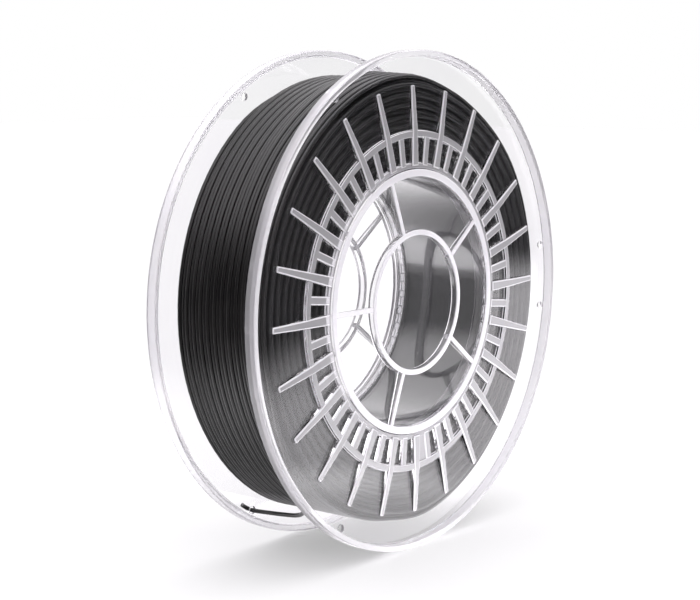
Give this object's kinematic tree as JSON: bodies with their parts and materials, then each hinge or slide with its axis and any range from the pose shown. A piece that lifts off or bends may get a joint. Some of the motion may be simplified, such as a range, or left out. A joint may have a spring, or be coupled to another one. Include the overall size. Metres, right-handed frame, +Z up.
{
  "type": "filament spool",
  "caption": "Clear ribbed plastic spool with spoked hubs, wound with black filament whose end is tied through a flange hole.",
  "frame": {"origin": "centre of the spool, on its axis, halfway between the outer faces of the two rims", "axes": "+Y along the spool's axis from the front flange to the rear flange, +Z up when it stands on its rims, +X to the right seen from the front"},
  "size_m": [0.2, 0.054, 0.2],
  "materials": {
    "clear_plastic": "clear, glossy, injection moulded",
    "filament": "black, satin, extruded"
  },
  "bodies": {
    "root": {"front_flange": "clear_plastic", "rear_flange": "clear_plastic", "front_hub": "clear_plastic", "rear_hub": "clear_plastic", "drum": "clear_plastic", "filament_core": "filament", "filament_outer_turns": "filament"}
  },
  "joints": []
}
